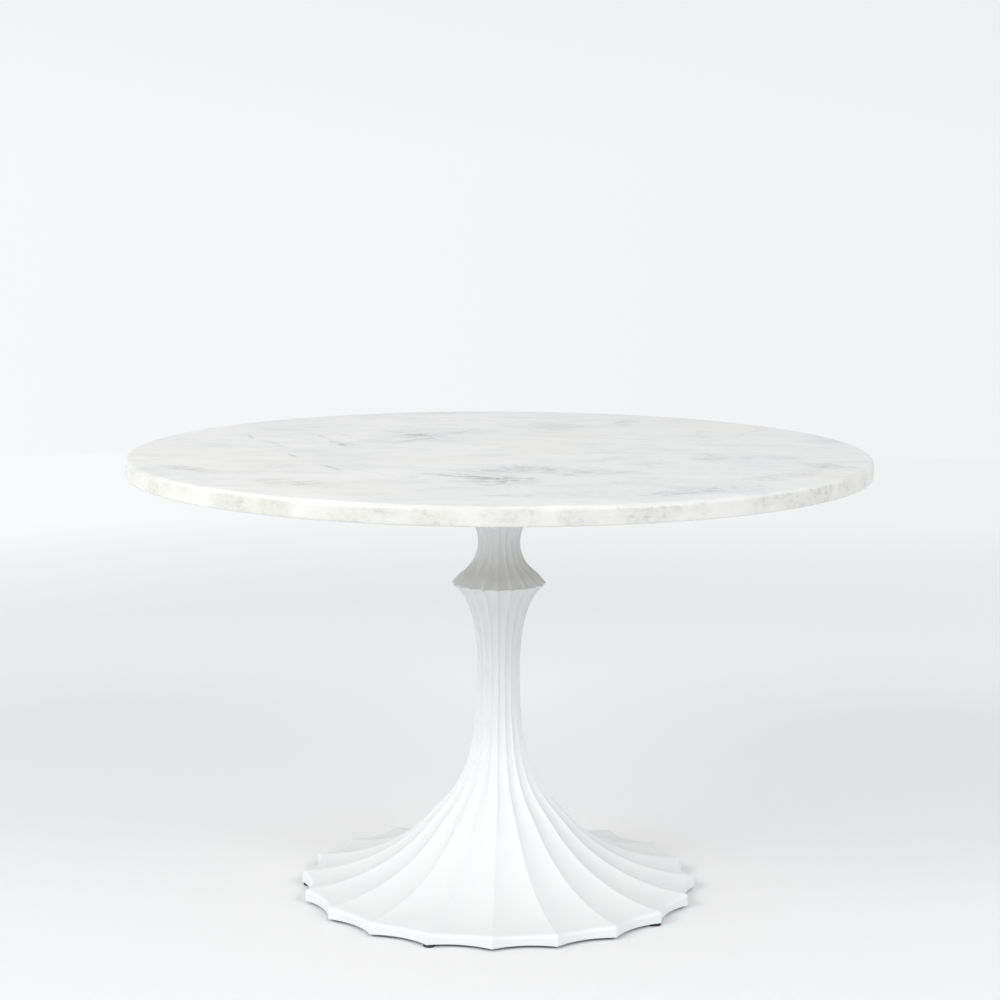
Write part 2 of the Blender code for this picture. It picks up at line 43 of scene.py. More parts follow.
FLUTES = 20
FLUTE_ANGLE = 2 * math.pi / FLUTES
SLIM_VALLEY = 0.905  # a flute's radius at its deepest, as a share of its ridges', up to SLIM_RADIUS
WIDE_VALLEY = 0.953  # the same beyond WIDE_RADIUS
SLIM_RADIUS = 0.085
WIDE_RADIUS = 0.140
FLUTE_DROP = 0.013  # how far a flute also sinks, for each metre beyond the stem's radius
RIDGE_ROUNDING = 0.0008  # half the width of the rounding along each ridge
FLANK_STEPS = 6  # faces from a ridge's rounding to the next valley

# A handle is the distance from a curve's end to its control point
STEM_RADIUS = 0.0362
STEM_WAIST_Z = 0.381
STEM_LOWER_HANDLE = 0.194
STEM_UPPER_HANDLE = 0.075
BEND_RADIUS = 0.120
BEND_Z = 0.1227
BEND_SLOPE = math.radians(49.8)
BEND_UPPER_HANDLE = 0.064
BEND_LOWER_HANDLE = 0.078
RIM_SLOPE = math.radians(3)
RIM_HANDLE = 0.078
RIM_TOP = 0.025
RIM_EDGE = 0.006
RIM_LOWER_EDGE = 0.0008

SEAM_Z = 0.5265
KNOP_RADIUS = 0.0786
KNOP_EDGE = 0.003
KNOP_EDGE_DROP = 0.0012
KNOP_UNDER_INSET = 0.0021
KNOP_UNDER_DROP = 0.0042
KNOP_UNDER_SLOPE = math.radians(35)
KNOP_UNDER_HANDLE = 0.031
NOSE_SLOPE = math.radians(50)
NOSE_HANDLE = 0.005
SHOULDER_RADIUS = 0.0655
SHOULDER_Z = 0.5408
SHOULDER_SLOPE = math.radians(39)
SHOULDER_HANDLE = 0.018
NECK_RADIUS = 0.0356
NECK_WAIST_Z = 0.595
NECK_HANDLE = 0.028
FLARE_RADIUS = 0.115
FLARE_SLOPE = math.radians(25)
FLARE_HANDLE = 0.060
FLARE_BAND = 0.006  # the upright edge at the flare's top
FLARE_EDGE = 0.001

WALL = 0.008
CORE_RADIUS = 0.0235
TOP_WEB = 0.010
TOP_RING_RADIUS = 0.05  # the first ring of points on the neck's flat top, round its hole
LEDGE_Z = 0.200  # the clamp plate bears on the ledge at this height
SPIGOT_RADIUS = 0.034
SPIGOT_DEPTH = 0.008
ROUND_WITHIN = 0.0345  # bores and spigots inside this radius are round,
FLUTED_BEYOND = 0.0355  # and from this radius on the flutes have their whole depth
ROD_HOLE_RADIUS = 0.0075

GLIDE_CIRCLE_RADIUS = 0.321
GLIDES = [(n, FLUTE_ANGLE * (4 * n - 5)) for n in range(1, 6)]  # number, angle from -Y towards +X
BOSS_RADIUS = 0.0085
BOSS_TOP = 0.0205  # level with the studs' tops, inside the rim's wall
BOSS_EDGE = 0.0006
PAD_EDGE = 0.0012
PAD_SOLE_INSET = 0.003
PAD_DIMPLE_RADIUS = 0.0008
PAD_POCKET_FLOOR = 0.0016
PAD_LIP_HEIGHT = 0.001
STUD_RADIUS = 0.004
STUD_HEAD_RADIUS = 0.0049
STUD_HEAD_TOP = 0.0034
STUD_PITCH = 0.00125
STUD_GROOVE = 0.0006
STUD_TIP = 0.0008
STUD_HEAD_EASE = 0.0004
STUD_HEAD_LOWER_EASE = 0.0003

SLAB_UPPER_EASE = 0.0080
SLAB_LOWER_EASE = 0.0030
SLAB_FLAT_RADIUS = 0.30  # inside this radius one flat face closes each side
BOARD_BEVEL = 0.008
BOARD_POCKET_RADIUS = 0.032
BOARD_EASE = 0.0006
PLATE_EASE = 0.0012

SCREWS = range(1, 7)  # the plate screws' numbers
SCREW_RADIUS = 0.003
SCREW_TIP = 0.0006
SCREW_HEAD_HEIGHT = 0.0033
SCREW_HEAD_DOME = 0.0024
SCREW_HEAD_EDGE = 0.0003
SCREW_SOCKET_CORNER = 0.0023
SCREW_SOCKET_ROOM = 1.02  # radius of the face that the socket is cut in, as a share of its corner
SCREW_SOCKET_DEPTH = 0.0018

ROD_RADIUS = 0.006
ROD_PITCH = 0.00175
ROD_GROOVE = 0.0007
ROD_CHAMFER = 0.001
ROD_THREADED = 0.040
ROD_RUN_OUT = 0.004  # from the thread's end to the plain middle
ROD_TIP_INSET = 0.0014
ROD_PLAIN_INSET = 0.0002
WASHER_EASE = 0.0004
CLAMP_PLATE_EASE = 0.0010
NUT_EASE = 0.0006
NUT_FACE_INSET = 0.0002  # the chamfer starts so far inside the flats,
NUT_CHAMFER_SLOPE = 0.5  # falls by this much for each metre outwards,
NUT_CHAMFER_DROP = 0.0001  # and has fallen so far at the flats
FLAT_SHARE = math.cos(math.pi / 6)  # how far a hexagon's flats are out, as a share of its corners

# ---------------------------------------------------------------- shader graphs


class Graph:
    """A node material with a Principled shader, and short ways to add its nodes."""

    def __init__(self, name, roughness, metallic=0.0, specular=0.5):
        self.material = bpy.data.materials.new(name)
        self.material.use_nodes = True
        self.tree = self.material.node_tree
        self.shader = self.tree.nodes["Principled BSDF"]
        self.shader.inputs["Roughness"].default_value = roughness
        self.shader.inputs["Metallic"].default_value = metallic
        self.shader.inputs["Specular IOR Level"].default_value = specular
        self.place = self.add("ShaderNodeTexCoord").outputs["Object"]

    def add(self, kind, settings=None, **inputs):
        """A node, with its settings by name and its inputs by name with _ for a space."""
        node = self.tree.nodes.new(kind)
        for key, value in (settings or {}).items():
            setattr(node, key, value)
        for key, value in inputs.items():
            self.put(node.inputs[key.replace("_", " ")], value)
        return node

    def put(self, socket, value):
        if isinstance(value, bpy.types.NodeSocket):
            self.tree.links.new(value, socket)
        else:
            socket.default_value = value

    def maths(self, operation, first, second=None, third=None):
        node = self.add("ShaderNodeMath", {"operation": operation})
        for socket, value in zip(node.inputs, (first, second, third)):
            if value is not None:
                self.put(socket, value)
        return node.outputs[0]

    def stretched(self, scale, angle=0.0, place=None):
        """The place, scaled along each axis and turned about Z."""
        node = self.add("ShaderNodeMapping", Vector=place or self.place, Scale=scale)
        node.inputs["Rotation"].default_value = (0, 0, angle)
        return node.outputs[0]

    def noise(self, scale, detail=4.0, roughness=0.5, distortion=0.0, place=None):
        node = self.add("ShaderNodeTexNoise", Vector=place or self.place, Scale=scale, Detail=detail)
        node.inputs["Roughness"].default_value = roughness
        node.inputs["Distortion"].default_value = distortion
        return node.outputs["Fac"]

    def remap(self, value, low, high, to_low=0.0, to_high=1.0):
        node = self.add("ShaderNodeMapRange", {"clamp": True}, Value=value)
        names = ("From Min", "From Max", "To Min", "To Max")
        for name, number in zip(names, (low, high, to_low, to_high)):
            node.inputs[name].default_value = number
        return node.outputs[0]

    def mix(self, share, first, second):
        node = self.add("ShaderNodeMix", {"data_type": "RGBA"})
        self.put(node.inputs[0], share)
        for socket, colour in zip((node.inputs[6], node.inputs[7]), (first, second)):
            self.put(socket, colour if isinstance(colour, bpy.types.NodeSocket) else (*colour, 1))
        return node.outputs[2]

    def patch(self, x, y, half_length, half_width, degrees, place):
        """1 in the middle of an upright elliptic column, falling to 0 at its edge."""
        node = self.add("ShaderNodeMapping", {"vector_type": "TEXTURE"}, Vector=place)
        node.inputs["Location"].default_value = (x, y, 0)
        node.inputs["Rotation"].default_value = (0, 0, math.radians(degrees))
        node.inputs["Scale"].default_value = (half_length, half_width, 1000)
        settings = {"gradient_type": "SPHERICAL"}
        gradient = self.add("ShaderNodeTexGradient", settings, Vector=node.outputs[0])
        return gradient.outputs["Fac"]

    def patches(self, table, place, growth):
        """The sum of a table's patches, each grown by the same factor and times its strength."""
        total = 0.0
        for x, y, half_length, half_width, degrees, strength in table:
            area = self.patch(x, y, growth * half_length, growth * half_width, degrees, place)
            total = self.maths("MULTIPLY_ADD", area, strength, total)
        return total

    def warped(self, scale, amount, detail=3.0):
        """The place, pushed about by noise."""
        noise = self.add("ShaderNodeTexNoise", Vector=self.place, Scale=scale, Detail=detail)
        centred = self.add("ShaderNodeVectorMath", {"operation": "SUBTRACT"})
        self.put(centred.inputs[0], noise.outputs["Color"])
        centred.inputs[1].default_value = (0.5, 0.5, 0.5)
        push = self.add("ShaderNodeVectorMath", {"operation": "SCALE"}, Scale=amount)
        self.put(push.inputs[0], centred.outputs[0])
        moved = self.add("ShaderNodeVectorMath", {"operation": "ADD"})
        self.put(moved.inputs[0], self.place)
        self.put(moved.inputs[1], push.outputs[0])
        return moved.outputs[0]

    def along(self, axis, place=None):
        """One coordinate of the place, or of another vector."""
        return self.add("ShaderNodeSeparateXYZ", Vector=place or self.place).outputs[axis]

    def level(self):
        """1 where the surface is level, 0 where it is upright."""
        normal = self.add("ShaderNodeNewGeometry").outputs["Normal"]
        return self.maths("ABSOLUTE", self.along("Z", normal))

    def bump(self, height, distance, strength=1.0):
        node = self.add("ShaderNodeBump", Height=height, Distance=distance, Strength=strength)
        self.put(self.shader.inputs["Normal"], node.outputs["Normal"])

    def colour(self, value):
        self.put(self.shader.inputs["Base Color"], value)

    def roughness(self, value):
        self.put(self.shader.inputs["Roughness"], value)


# ---------------------------------------------------------------- materials

# Grey smudges in the slab, in metres and degrees: x, y, half length, half width, angle, strength
SMUDGES = (
    (-0.15, 0.215, 0.070, 0.035, -60, 1.0),
    (-0.10, 0.245, 0.070, 0.018, 30, 0.6),
    (-0.15, 0.135, 0.060, 0.014, 55, 0.6),
    (-0.26, 0.085, 0.040, 0.018, -70, 0.6),
    (-0.21, 0.135, 0.028, 0.028, 0, 0.4),
    (0.010, -0.350, 0.055, 0.045, 20, 1.4),
    (-0.045, -0.300, 0.075, 0.020, -25, 0.9),
    (-0.010, -0.240, 0.045, 0.032, 40, 0.9),
    (0.058, -0.215, 0.045, 0.035, -40, 1.2),
    (0.130, -0.250, 0.050, 0.035, 80, 0.9),
    (0.195, -0.245, 0.035, 0.020, -30, 0.8),
    (0.245, -0.160, 0.055, 0.028, 70, 0.5),
    (0.190, -0.080, 0.060, 0.022, 40, 0.4),
    (0.160, 0.050, 0.080, 0.022, -60, 0.3),
    (0.340, -0.060, 0.045, 0.020, 85, 1.0),
    (0.400, -0.065, 0.040, 0.024, 20, 0.6),
    (0.465, -0.060, 0.030, 0.018, -45, 0.6),
    (0.505, -0.140, 0.050, 0.020, -40, 0.8),
    (0.535, -0.170, 0.030, 0.020, -50, 0.8),
    (0.555, -0.110, 0.040, 0.015, 10, 0.5),
    (0.430, -0.290, 0.070, 0.022, 40, 0.7),
    (0.495, -0.200, 0.060, 0.016, 70, 0.5),
    (0.320, -0.430, 0.075, 0.030, 25, 0.9),
    (0.260, -0.480, 0.050, 0.022, 20, 0.6),
    (0.220, -0.350, 0.070, 0.035, 30, 0.3),
    (0.130, -0.480, 0.070, 0.030, 20, 0.35),
    (0.030, -0.505, 0.035, 0.012, 0, 0.7),
    (-0.125, -0.310, 0.018, 0.012, 70, 0.7),
    (-0.265, -0.400, 0.035, 0.022, -30, 0.8),
    (-0.315, -0.385, 0.045, 0.022, -30, 0.6),
    (-0.345, -0.205, 0.050, 0.030, 0, 0.35),
    (-0.480, -0.240, 0.050, 0.018, -35, 0.8),
    (0.215, 0.425, 0.055, 0.022, 80, 0.8),
    (0.090, 0.355, 0.080, 0.035, 75, 0.6),
    (0.045, 0.440, 0.060, 0.022, -70, 0.35),
    (0.145, 0.360, 0.050, 0.020, 60, 0.4),
    (0.350, 0.235, 0.090, 0.030, 85, 0.4),
    (-0.130, 0.565, 0.070, 0.025, 20, 0.5),
    (0.565, 0.190, 0.060, 0.030, 80, 0.5),
)

# Thin dark veins, the same way
VEINS = (
    (-0.440, 0.195, 0.050, 0.0045, -66, 0.8),
    (-0.392, 0.100, 0.070, 0.0040, -62, 0.7),
    (-0.300, 0.150, 0.085, 0.0050, -67, 0.8),
    (-0.280, 0.215, 0.060, 0.0035, -50, 0.5),
    (-0.268, 0.075, 0.040, 0.0050, -75, 0.9),
    (-0.335, -0.075, 0.035, 0.0050, -75, 0.9),
    (-0.258, -0.215, 0.050, 0.0050, -58, 1.0),
    (-0.160, 0.140, 0.060, 0.0045, 40, 0.7),
    (-0.075, 0.265, 0.055, 0.0050, 55, 0.6),
    (-0.060, -0.300, 0.060, 0.0060, -22, 1.0),
    (0.440, 0.300, 0.150, 0.0040, 62, 0.35),
    (-0.200, -0.250, 0.220, 0.0035, -52, 0.30),
    (0.300, 0.050, 0.260, 0.0035, 35, 0.25),
)

# Ochre stains, the same way
STAINS = (
    (0.05, 0.11, 0.070, 0.065, 0, 0.9),
    (0.06, 0.02, 0.050, 0.050, 20, 0.7),
    (0.13, 0.24, 0.080, 0.030, 15, 0.7),
    (0.38, 0.40, 0.100, 0.050, -30, 0.8),
    (0.52, -0.27, 0.050, 0.050, 0, 0.6),
    (-0.45, -0.10, 0.160, 0.100, -40, 0.5),
    (-0.25, -0.42, 0.120, 0.060, -25, 0.6),
    (-0.10, -0.10, 0.120, 0.060, 10, 0.35),
)

# The paler stone is painted shade on the slab's right side. Of the edge colours, the warm one is painted
# light on the left and the grey one painted shade on the right, and both are darker than the face,
# partly as painted shade on the upright edge.
STONE_WHITE = (0.785, 0.783, 0.762)
STONE_PAINTED_SHADE = (0.725, 0.723, 0.714)
STONE_CLOUD = (0.655, 0.657, 0.660)
STONE_STREAK = (0.560, 0.565, 0.570)
STONE_OCHRE = (0.740, 0.735, 0.640)
STONE_SMUDGE = (0.400, 0.408, 0.420)
STONE_DARK = (0.160, 0.165, 0.172)
EDGE_PAINTED_LIGHT = (0.745, 0.745, 0.705)
EDGE_PAINTED_SHADE = (0.705, 0.704, 0.685)
EDGE_OLIVE = (0.575, 0.575, 0.510)

PLY = 0.0014  # thickness of one ply of the board


def marble_top_colour(g, drift, smudged, stained, dark, painted_shade_right):
    """The slab's face: white with clouds, streaks, stains, smudges and veins, turning paler grey towards
    the right as painted shade.
    """
    clouds = g.remap(g.noise(5.5, detail=6.0, roughness=0.6, distortion=0.4, place=drift), 0.40, 0.70)
    streaky = g.noise(17.0, detail=7.0, roughness=0.66, place=g.stretched((0.55, 1.7, 1), 0.2, drift))
    streaks = g.remap(streaky, 0.46, 0.70)
    colour = g.mix(painted_shade_right, STONE_WHITE, STONE_PAINTED_SHADE)
    colour = g.mix(g.maths("MULTIPLY", clouds, 0.5), colour, STONE_CLOUD)
    colour = g.mix(g.maths("MULTIPLY", streaks, 0.5), colour, STONE_STREAK)
    colour = g.mix(g.maths("MULTIPLY", stained, 0.7), colour, STONE_OCHRE)
    colour = g.mix(g.remap(smudged, 0.0, 1.6, 0.0, 0.22), colour, STONE_SMUDGE)
    return g.mix(g.remap(dark, 0.0, 1.3, 0.0, 0.7), colour, STONE_DARK)


def marble_edge_colour(g, drift, dark, painted_shade_right):
    """The slab's edge: darker than the face, partly as painted shade on the upright edge, warmer on the
    left as painted light and greyer to the right as painted shade, evenly grained, with olive blotches
    and the face's veins.
    """
    sawn = g.remap(g.noise(85.0, detail=8.0, roughness=0.72, place=g.stretched((1, 1, 1.5))), 0.48, 0.66)
    blotches = g.remap(g.noise(15.0, detail=5.0, place=drift), 0.38, 0.58)
    grained = g.maths("MULTIPLY", sawn, blotches)
    # The dark grain on the edge grows stronger towards the right, partly as painted shade.
    share = g.maths("MULTIPLY", grained, g.remap(painted_shade_right, 0.0, 1.0, 0.40, 0.75))
    colour = g.mix(g.remap(painted_shade_right, 0.0, 0.5), EDGE_PAINTED_LIGHT, EDGE_PAINTED_SHADE)
    colour = g.mix(g.maths("MULTIPLY", blotches, 0.5), colour, EDGE_OLIVE)
    colour = g.mix(share, colour, STONE_SMUDGE)
    return g.mix(g.remap(dark, 0.0, 1.2, 0.0, 0.8), colour, STONE_DARK)


def marble():
    """White stone with soft grey clouds, granular grey smudges, thin veins and ochre stains, with
    painted shade towards the right and, in part, on the upright edge, and painted light on the edge's
    left.
    """
    g = Graph("honed_marble", roughness=0.3, specular=0.45)
    drift = g.warped(9.0, 0.05)
    shiver = g.warped(30.0, 0.022, detail=6.0)
    wander = g.warped(16.0, 0.03, detail=5.0)
    grains = g.noise(62.0, detail=9.0, roughness=0.68, place=g.stretched((0.75, 1.25, 1), 0.15, shiver))
    clumps = g.remap(grains, 0.46, 0.60)
    smudged = g.patches(SMUDGES, shiver, 1.6)
    veined = g.patches(VEINS, wander, 1.4)
    stained = g.patches(STAINS, drift, 1.5)
    broken = g.remap(g.noise(38.0, detail=6.0, roughness=0.6, place=shiver), 0.36, 0.60, 0.1, 1.0)
    dark = g.maths("MULTIPLY_ADD", smudged, clumps, g.maths("MULTIPLY", veined, broken))
    # Painted shade: 0 at the slab's left, rising to 1 towards its right.
    painted_shade_right = g.remap(g.along("X"), -0.45, 0.60)
    face = marble_top_colour(g, drift, smudged, stained, dark, painted_shade_right)
    edge = marble_edge_colour(g, drift, dark, painted_shade_right)
    # The upright edge takes the edge colours, darker than the face partly as painted shade.
    on_edge = g.remap(g.level(), 0.25, 0.75, 1.0, 0.0)
    g.colour(g.mix(on_edge, face, edge))
    g.roughness(g.remap(grains, 0.3, 0.7, 0.27, 0.36))
    g.bump(g.noise(150.0, detail=2.0), 0.00003, 0.3)
    return g.material


def white_coating():
    """Matte white powder coat with the fine texture of the casting below it."""
    g = Graph("white_powder_coat", roughness=0.55, specular=0.35)
    tone = g.remap(g.noise(14.0, detail=4.0), 0.3, 0.7)
    g.colour(g.mix(tone, (0.74, 0.763, 0.768), (0.76, 0.78, 0.782)))
    fine = g.noise(900.0, detail=2.0)
    coarse = g.noise(170.0, detail=3.0)
    g.roughness(g.remap(fine, 0.3, 0.7, 0.48, 0.62))
    g.bump(g.maths("MULTIPLY_ADD", coarse, 1.6, fine), 0.00012, 0.6)
    return g.material


def black_coating():
    """Black powder coat on the steel plate."""
    g = Graph("black_powder_coat", roughness=0.5, specular=0.4)
    fine = g.noise(1100.0, detail=2.0)
    g.colour(g.mix(g.remap(fine, 0.35, 0.65), (0.012, 0.012, 0.013), (0.03, 0.03, 0.032)))
    g.roughness(g.remap(fine, 0.3, 0.7, 0.38, 0.6))
    g.bump(fine, 0.0002, 0.7)
    return g.material


def plywood():
    """Birch plywood: a long-grained face, and thin light and dark plies on the edge and bevel."""
    g = Graph("birch_plywood", roughness=0.6, specular=0.3)
    wander = g.warped(3.0, 0.05)
    grain = g.noise(60.0, detail=6.0, roughness=0.6, place=g.stretched((0.12, 1.6, 1), 0, wander))
    pores = g.noise(700.0, detail=2.0, place=g.stretched((0.08, 1.0, 1)))
    face = g.mix(g.remap(grain, 0.35, 0.65), (0.60, 0.50, 0.38), (0.71, 0.62, 0.49))
    face = g.mix(g.remap(pores, 0.55, 0.75, 0.0, 0.5), face, (0.42, 0.32, 0.21))
    plies = g.maths("PINGPONG", g.along("Z"), PLY)
    ply = g.remap(plies, 0.0004, 0.0010)
    edge_grain = g.noise(500.0, detail=3.0)
    edge = g.mix(ply, (0.33, 0.21, 0.12), (0.66, 0.51, 0.33))
    edge = g.mix(g.remap(edge_grain, 0.4, 0.7, 0.0, 0.4), edge, (0.45, 0.31, 0.19))
    g.colour(g.mix(g.remap(g.level(), 0.88, 0.95), edge, face))
    g.bump(g.maths("ADD", grain, pores), 0.0002, 0.5)
    return g.material


def plated(name, colour, dull, roughness):
    """Plated or turned metal with fine tool marks and duller clouds."""
    g = Graph(name, roughness=roughness, metallic=1.0)
    clouds = g.remap(g.noise(45.0, detail=5.0), 0.35, 0.65)
    marks = g.noise(1500.0, detail=2.0, place=g.stretched((1, 1, 5)))
    g.colour(g.mix(clouds, colour, dull))
    g.roughness(g.remap(marks, 0.3, 0.7, roughness - 0.08, roughness + 0.12))
    g.bump(marks, 0.00005, 0.5)
    return g.material


def nylon():
    """Dark brown moulded nylon, with light scuffs."""
    g = Graph("brown_nylon", roughness=0.45, specular=0.45)
    mottle = g.remap(g.noise(240.0, detail=4.0), 0.35, 0.65)
    g.colour(g.mix(mottle, (0.022, 0.013, 0.010), (0.045, 0.026, 0.018)))
    scuffs = g.noise(900.0, detail=3.0)
    g.roughness(g.remap(scuffs, 0.3, 0.7, 0.35, 0.6))
    g.bump(scuffs, 0.0001, 0.5)
    return g.material


def strength_aside(tree, aside):
    """The surround's strength: brighter to the left and dimmer to the right, most so far aside."""
    cube = tree.nodes.new("ShaderNodeMath")
    cube.operation = "POWER"
    cube.inputs[1].default_value = 3
    far = tree.nodes.new("ShaderNodeMath")
    near = tree.nodes.new("ShaderNodeMath")
    for node, factor in ((far, -FAR_ASIDE), (near, -NEAR_ASIDE)):
        node.operation = "MULTIPLY_ADD"
        node.inputs[1].default_value = factor
    far.inputs[2].default_value = 1
    tree.links.new(aside, cube.inputs[0])
    tree.links.new(cube.outputs[0], far.inputs[0])
    tree.links.new(aside, near.inputs[0])
    tree.links.new(far.outputs[0], near.inputs[2])
    return near.outputs[0]


def pale_floor():
    """Matte pale floor that far from the table gives way to a painted glow in the surround's colour,
    brighter to the left and dimmer to the right.
    """
    g = Graph("pale_floor", roughness=0.9, specular=0.1)
    g.colour((*FLOOR_COLOUR, 1))
    spread = g.add("ShaderNodeVectorMath", {"operation": "LENGTH"}, Vector=g.place).outputs["Value"]
    aside = g.maths("DIVIDE", g.along("X"), spread)
    strength = strength_aside(g.tree, aside)
    # Painted light: the far floor glows as strongly as the surround, brighter to the left and dimmer to
    # the right.
    painted_glow = g.add("ShaderNodeEmission", Color=(*SURROUND_COLOUR, 1), Strength=strength)
    share = g.remap(spread, FLOOR_FADE_START, FLOOR_FADE_END)
    blend = g.add("ShaderNodeMixShader", Fac=share)
    g.tree.links.new(g.shader.outputs[0], blend.inputs[1])
    g.tree.links.new(painted_glow.outputs[0], blend.inputs[2])
    g.tree.links.new(blend.outputs[0], g.tree.nodes["Material Output"].inputs["Surface"])
    return g.material


# ---------------------------------------------------------------- outlines


def bezier(start, leave, arrive, end, count):
    """Points along a cubic curve in the (radius, height) plane, evenly spaced along it."""
    share = np.linspace(0, 1, 400)[:, None]
    corners = [np.array(corner, float) for corner in (start, leave, arrive, end)]
    weights = ((1 - share) ** 3, 3 * (1 - share) ** 2 * share, 3 * (1 - share) * share**2, share**3)
    points = sum(weight * corner for weight, corner in zip(weights, corners))
    walked = np.concatenate([[0], np.cumsum(np.linalg.norm(np.diff(points, axis=0), axis=1))])
    targets = np.linspace(0, walked[-1], count)
    return [(np.interp(t, walked, points[:, 0]), np.interp(t, walked, points[:, 1])) for t in targets]


def arc(centre, radius, first_degrees, last_degrees, count):
    """Points on an arc, with degrees counted from outwards towards up."""
    angles = np.radians(np.linspace(first_degrees, last_degrees, count))
    return [(centre[0] + radius * math.cos(a), centre[1] + radius * math.sin(a)) for a in angles]


def line(start, end, count):
    """Points from start up to, but without, end."""
    shares = [k / count for k in range(count)]
    return [(start[0] + s * (end[0] - start[0]), start[1] + s * (end[1] - start[1])) for s in shares]


def slope_point(point, slope, distance):
    """The point so far outwards and down the slope, or back up it if the distance is negative."""
    return (point[0] + distance * math.cos(slope), point[1] - distance * math.sin(slope))


def stem_and_skirt(rim_radius, stem_points, skirt_points):
    """The ridges' outline from the stem's waist down to the rim."""
    waist = (STEM_RADIUS, STEM_WAIST_Z)
    bend = (BEND_RADIUS, BEND_Z)
    rim = (rim_radius - RIM_EDGE, RIM_TOP)
    upper = bezier(
        waist,
        (STEM_RADIUS, STEM_WAIST_Z - STEM_LOWER_HANDLE),
        slope_point(bend, BEND_SLOPE, -BEND_UPPER_HANDLE),
        bend,
        stem_points,
    )
    lower = bezier(
        bend,
        slope_point(bend, BEND_SLOPE, BEND_LOWER_HANDLE),
        slope_point(rim, RIM_SLOPE, -RIM_HANDLE),
        rim,
        skirt_points,
    )
    return upper + lower[1:]


def knop_underside(count):
    """The ridges' outline from under the knop down to the stem's waist."""
    edge = (KNOP_RADIUS - KNOP_UNDER_INSET, SEAM_Z - KNOP_UNDER_DROP)
    return bezier(
        edge,
        slope_point(edge, -KNOP_UNDER_SLOPE, -KNOP_UNDER_HANDLE),
        (STEM_RADIUS, STEM_WAIST_Z + STEM_UPPER_HANDLE),
        (STEM_RADIUS, STEM_WAIST_Z),
        count,
    )


def neck_ridge(neck_top, flare_points, shoulder_points, nose_points):
    """The ridges' outline from the flare down to the neck's waist, and on down to the knop."""
    rim = (FLARE_RADIUS, neck_top - FLARE_BAND)
    waist = (NECK_RADIUS, NECK_WAIST_Z)
    shoulder = (SHOULDER_RADIUS, SHOULDER_Z)
    flare = bezier(
        rim,
        slope_point(rim, -FLARE_SLOPE, -FLARE_HANDLE),
        (NECK_RADIUS, NECK_WAIST_Z + NECK_HANDLE),
        waist,
        flare_points,
    )
    lower = bezier(
        waist,
        (NECK_RADIUS, NECK_WAIST_Z - NECK_HANDLE),
        slope_point(shoulder, SHOULDER_SLOPE, -SHOULDER_HANDLE),
        shoulder,
        shoulder_points,
    )
    nose = (KNOP_RADIUS, SEAM_Z)
    last = bezier(
        shoulder,
        slope_point(shoulder, SHOULDER_SLOPE, NOSE_HANDLE),
        slope_point(nose, NOSE_SLOPE, -NOSE_HANDLE),
        nose,
        nose_points,
    )
    return flare, lower[1:] + last[1:]


def inside_of(path, thickness):
    """A path moved by a wall's thickness to its right, which is inwards on the way down."""
    points = np.array(path)
    along = np.gradient(points, axis=0)
    along /= np.linalg.norm(along, axis=1)[:, None]
    moved = points + thickness * np.stack([along[:, 1], -along[:, 0]], axis=1)
    return [tuple(point) for point in moved]


# ---------------------------------------------------------------- meshes


def new_piece(name, vertices, faces, material, sharp_degrees=35):
    """A smooth object of these faces, with a hard edge where they turn by more than the angle."""
    mesh = bpy.data.meshes.new(name)
    mesh.from_pydata([tuple(v) for v in vertices], [], faces)
    mesh.materials.append(material)
    shape = bmesh.new()
    shape.from_mesh(mesh)
    bmesh.ops.recalc_face_normals(shape, faces=shape.faces)
    shape.to_mesh(mesh)
    shape.free()
    mesh.shade_smooth()
    mesh.set_sharp_from_angle(angle=math.radians(sharp_degrees))
    piece = bpy.data.objects.new(name, mesh)
    bpy.context.scene.collection.objects.link(piece)
    return piece


def loop_faces(rings, sides, closed):
    """Quads between neighbouring rings of points, and from the last ring to the first if closed."""
    faces = []
    for ring in range(rings if closed else rings - 1):
        here = ring * sides
        there = (ring + 1) % rings * sides
        for side in range(sides):
            after = (side + 1) % sides
            faces.append((here + side, here + after, there + after, there + side))
    return faces


def turned(name, outline, sides, material, place=(0, 0), spin=0.0, closed=False, sharp_degrees=35):
    """An outline turned about an upright axis. Unless closed, its two ends get a flat cap if they
    are off the axis, or meet in a point if they are on it."""
    angles = np.arange(sides) * 2 * math.pi / sides + spin
    vertices = [
        (place[0] + r * math.sin(a), place[1] - r * math.cos(a), z) for r, z in outline for a in angles
    ]
    faces = loop_faces(len(outline), sides, closed)
    if not closed:
        last = (len(outline) - 1) * sides
        faces.append(tuple(range(sides)))
        faces.append(tuple(range(last, last + sides)))
    return new_piece(name, vertices, faces, material, sharp_degrees)


def valley_ratio(radius):
    """A flute's radius at its deepest, as a share of its ridges' radius."""
    share = min(max((radius - SLIM_RADIUS) / (WIDE_RADIUS - SLIM_RADIUS), 0), 1)
    return SLIM_VALLEY + share * (WIDE_VALLEY - SLIM_VALLEY)


def scallop_share(from_ridge, valley):
    """A fluted outline's radius at an angle from a ridge, as a share of the ridges' radius."""
    from_valley = FLUTE_ANGLE / 2 - abs(from_ridge)
    half_chord = math.sin(FLUTE_ANGLE / 2)
    depth = math.cos(FLUTE_ANGLE / 2) - valley
    arc_radius = (half_chord**2 + depth**2) / (2 * depth)
    arc_centre = valley + arc_radius
    across = arc_centre * math.sin(from_valley)
    return arc_centre * math.cos(from_valley) - math.sqrt(arc_radius**2 - across**2)


def rounded_share(from_ridge, rounding, valley):
    """The same, with the sharp ridge replaced by a parabola within the rounding angle."""
    if abs(from_ridge) >= rounding:
        return scallop_share(from_ridge, valley)
    step = rounding * 0.01
    at_edge = scallop_share(rounding, valley)
    slope = (scallop_share(rounding + step, valley) - at_edge) / step
    return at_edge + slope * (from_ridge**2 - rounding**2) / (2 * rounding)


